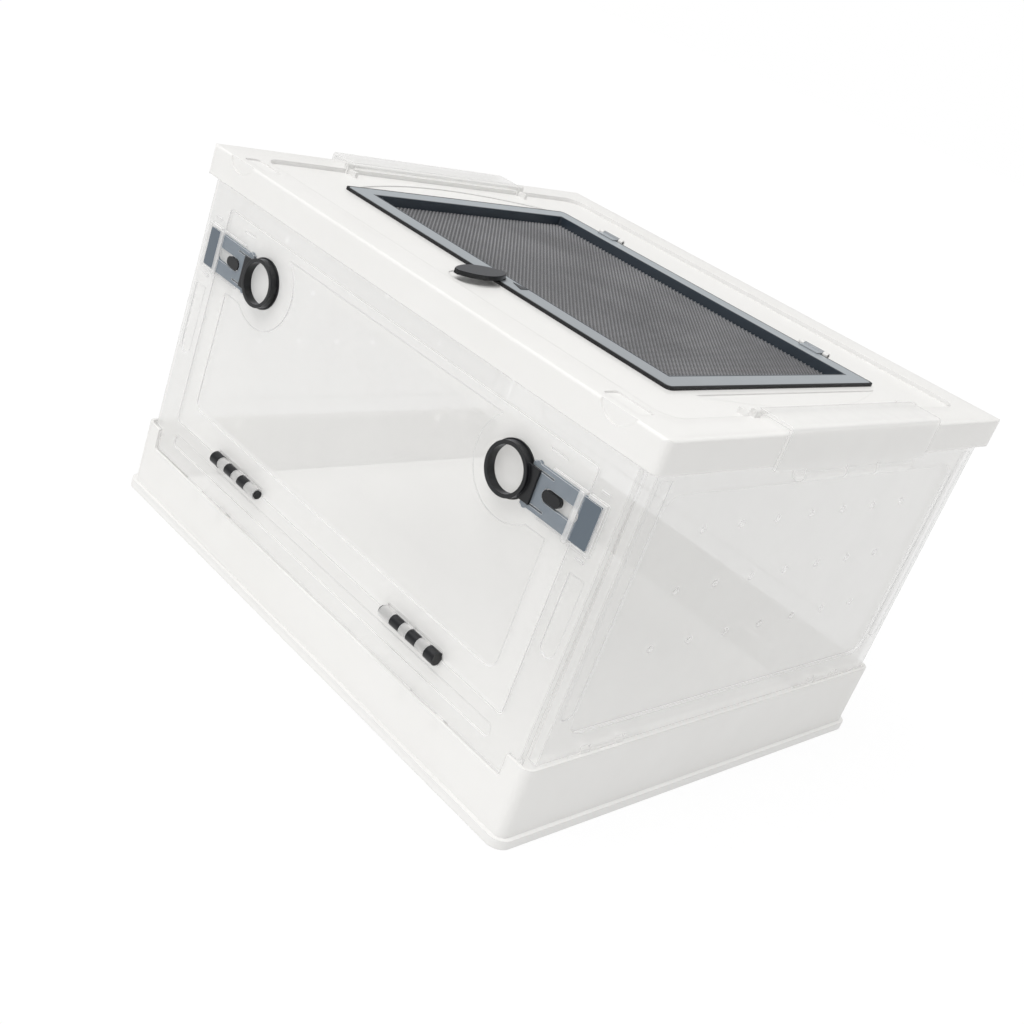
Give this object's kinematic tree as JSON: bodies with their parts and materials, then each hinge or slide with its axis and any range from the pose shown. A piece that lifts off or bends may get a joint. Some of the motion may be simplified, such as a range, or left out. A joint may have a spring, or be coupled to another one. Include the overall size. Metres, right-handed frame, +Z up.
{
  "type": "plastic pet keeper",
  "caption": "Folding see-through keeper box for small pets with a hinged front door, slide latches, a lift-off lid held by side buckles and a hinged mesh window.",
  "frame": {"origin": "centre of the underside of the base tray, on the surface the box stands on", "axes": "+X to the box's right seen from its front door, +Y to the back, +Z up"},
  "size_m": [0.4324, 0.3836, 0.267],
  "materials": {
    "clear_shell": "clear moulded polypropylene, slightly milky",
    "milky_shell": "milky translucent moulded polypropylene",
    "smoke_plastic": "smoke grey translucent plastic",
    "black_plastic": "black moulded ABS",
    "black_rubber": "soft black seal",
    "mesh": "fine woven nylon screen"
  },
  "bodies": {
    "base": {"base_tray": "milky_shell", "wall_hinge_pins": "milky_shell"},
    "left_wall": {"left_wall": "clear_shell"},
    "right_wall": {"right_wall": "clear_shell"},
    "back_wall": {"back_wall": "clear_shell"},
    "front_wall": {"front_frame": "clear_shell", "door_hinge_pins": "black_plastic", "door_hinge_spacers": "black_plastic"},
    "door": {"front_door": "clear_shell", "latch_guide_posts": "black_plastic"},
    "left_latch": {"left_latch_plate": "smoke_plastic", "left_latch_ring": "black_plastic"},
    "right_latch": {"right_latch_plate": "smoke_plastic", "right_latch_ring": "black_plastic"},
    "lid": {"lid": "milky_shell", "buckle_pins": "milky_shell", "mesh_hinge_pins": "black_plastic"},
    "left_buckle": {"left_buckle": "clear_shell"},
    "right_buckle": {"right_buckle": "clear_shell"},
    "mesh_window": {"mesh_frame": "smoke_plastic", "mesh_seal": "black_rubber", "mesh_screen": "mesh", "lock_mark": "black_plastic"},
    "turn_latch": {"turn_latch": "black_plastic"}
  },
  "joints": [
    {"name": "left_wall_fold", "type": "hinge", "parent": "base", "child": "left_wall", "pos_m": [-0.204, 0, 0.055], "axis": [0, 1, 0], "range_deg": [0, 90]},
    {"name": "right_wall_fold", "type": "hinge", "parent": "base", "child": "right_wall", "pos_m": [0.204, 0, 0.055], "axis": [0, -1, 0], "range_deg": [0, 90]},
    {"name": "front_wall_fold", "type": "hinge", "parent": "base", "child": "front_wall", "pos_m": [0, -0.182, 0.034], "axis": [-1, 0, 0], "range_deg": [0, 90]},
    {"name": "back_wall_fold", "type": "hinge", "parent": "base", "child": "back_wall", "pos_m": [0, 0.182, 0.022], "axis": [1, 0, 0], "range_deg": [0, 90]},
    {"name": "door_swing", "type": "hinge", "parent": "front_wall", "child": "door", "pos_m": [0, -0.1881, 0.07], "axis": [-1, 0, 0], "range_deg": [-110, 0]},
    {"name": "left_latch_slide", "type": "slide", "parent": "door", "child": "left_latch", "axis": [1, 0, 0], "range_m": [0, 0.013]},
    {"name": "right_latch_slide", "type": "slide", "parent": "door", "child": "right_latch", "axis": [-1, 0, 0], "range_m": [0, 0.013]},
    {"name": "lid_lift", "type": "slide", "parent": "base", "child": "lid", "axis": [0, 0, 1], "range_m": [0, 0.1]},
    {"name": "left_buckle_swing", "type": "hinge", "parent": "lid", "child": "left_buckle", "pos_m": [-0.1905, 0, 0.2646], "axis": [0, 1, 0], "range_deg": [0, 110]},
    {"name": "right_buckle_swing", "type": "hinge", "parent": "lid", "child": "right_buckle", "pos_m": [0.1905, 0, 0.2646], "axis": [0, -1, 0], "range_deg": [0, 110]},
    {"name": "mesh_window_swing", "type": "hinge", "parent": "lid", "child": "mesh_window", "pos_m": [0, 0.1118, 0.2613], "axis": [-1, 0, 0], "range_deg": [0, 100]},
    {"name": "turn_latch_turn", "type": "hinge", "parent": "mesh_window", "child": "turn_latch", "pos_m": [0.003, -0.1115, 0.262], "axis": [0, 0, -1], "range_deg": [-90, 0]}
  ]
}
